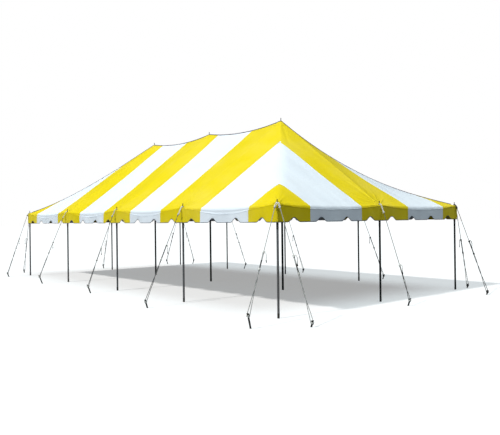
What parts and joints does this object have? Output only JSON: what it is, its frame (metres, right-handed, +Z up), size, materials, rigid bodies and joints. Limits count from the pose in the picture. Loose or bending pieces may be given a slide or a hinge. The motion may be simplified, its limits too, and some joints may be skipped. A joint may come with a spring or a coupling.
{
  "type": "marquee tent",
  "caption": "Striped yellow and white pole tent with a hipped canopy, scalloped valance, side and centre poles, guy ropes and stakes.",
  "frame": {"origin": "centre of the middle centre pole's foot, on the ground", "axes": "+X along the tent towards the right end, +Y from the front side to the back, +Z up"},
  "size_m": [14.6086, 8.1548, 4.4],
  "materials": {
    "canopy_vinyl": "satin",
    "valance_vinyl": "satin",
    "rope": "matte",
    "dark_steel": "satin",
    "galvanised_steel": "satin"
  },
  "bodies": {
    "root": {"canopy_back": "canopy_vinyl", "canopy_front": "canopy_vinyl", "canopy_left_end": "canopy_vinyl", "canopy_right_end": "canopy_vinyl", "centre_pole_left": "galvanised_steel", "centre_pole_middle": "galvanised_steel", "centre_pole_right": "galvanised_steel", "guy_back_left": "rope", "guy_back_left_corner_end": "rope", "guy_back_left_corner_side": "rope", "guy_back_middle": "rope", "guy_back_right": "rope", "guy_back_right_corner_end": "rope", "guy_back_right_corner_side": "rope", "guy_front_left": "rope", "guy_front_left_corner_end": "rope", "guy_front_left_corner_side": "rope", "guy_front_middle": "rope", "guy_front_right": "rope", "guy_front_right_corner_end": "rope", "guy_front_right_corner_side": "rope", "guy_left_end": "rope", "guy_right_end": "rope", "side_pole_back_left": "galvanised_steel", "side_pole_back_left_corner": "galvanised_steel", "side_pole_back_middle": "galvanised_steel", "side_pole_back_right": "galvanised_steel", "side_pole_back_right_corner": "galvanised_steel", "side_pole_front_left": "galvanised_steel", "side_pole_front_left_corner": "galvanised_steel", "side_pole_front_middle": "galvanised_steel", "side_pole_front_right": "galvanised_steel", "side_pole_front_right_corner": "galvanised_steel", "side_pole_left_end": "galvanised_steel", "side_pole_right_end": "galvanised_steel", "stake_back_left": "dark_steel", "stake_back_left_corner_end": "dark_steel", "stake_back_left_corner_side": "dark_steel", "stake_back_middle": "dark_steel", "stake_back_right": "dark_steel", "stake_back_right_corner_end": "dark_steel", "stake_back_right_corner_side": "dark_steel", "stake_front_left": "dark_steel", "stake_front_left_corner_end": "dark_steel", "stake_front_left_corner_side": "dark_steel", "stake_front_middle": "dark_steel", "stake_front_right": "dark_steel", "stake_front_right_corner_end": "dark_steel", "stake_front_right_corner_side": "dark_steel", "stake_left_end": "dark_steel", "stake_right_end": "dark_steel", "valance_back": "valance_vinyl", "valance_front": "valance_vinyl", "valance_left_end": "valance_vinyl", "valance_right_end": "valance_vinyl"}
  },
  "joints": []
}
